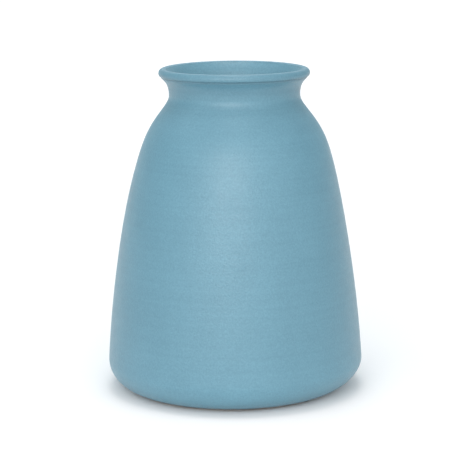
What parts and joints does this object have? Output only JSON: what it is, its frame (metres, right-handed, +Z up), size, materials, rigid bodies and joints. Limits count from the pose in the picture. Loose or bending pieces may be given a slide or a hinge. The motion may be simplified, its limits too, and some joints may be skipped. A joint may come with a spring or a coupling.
{
  "type": "flower vase",
  "caption": "Round-bellied ceramic vase in matte blue glaze, narrowing to a short neck with a flared, rolled lip; open at the top, standing on a foot ring with felt pads.",
  "frame": {"origin": "on the vase's axis, in the plane that its felt pads stand on", "axes": "+Z up along the axis, from the foot to the mouth; the pads stand on the diagonals between +X and +Y"},
  "size_m": [0.18, 0.18, 0.2265],
  "materials": {
    "matte_glaze": "matte",
    "grey_felt": "matte",
    "clear_adhesive": "satin"
  },
  "bodies": {
    "root": {"vase_body": "matte_glaze", "foot_pad_1": "grey_felt", "foot_pad_2": "grey_felt", "foot_pad_3": "grey_felt", "foot_pad_4": "grey_felt", "pad_adhesive_1": "clear_adhesive", "pad_adhesive_2": "clear_adhesive", "pad_adhesive_3": "clear_adhesive", "pad_adhesive_4": "clear_adhesive"}
  },
  "joints": []
}
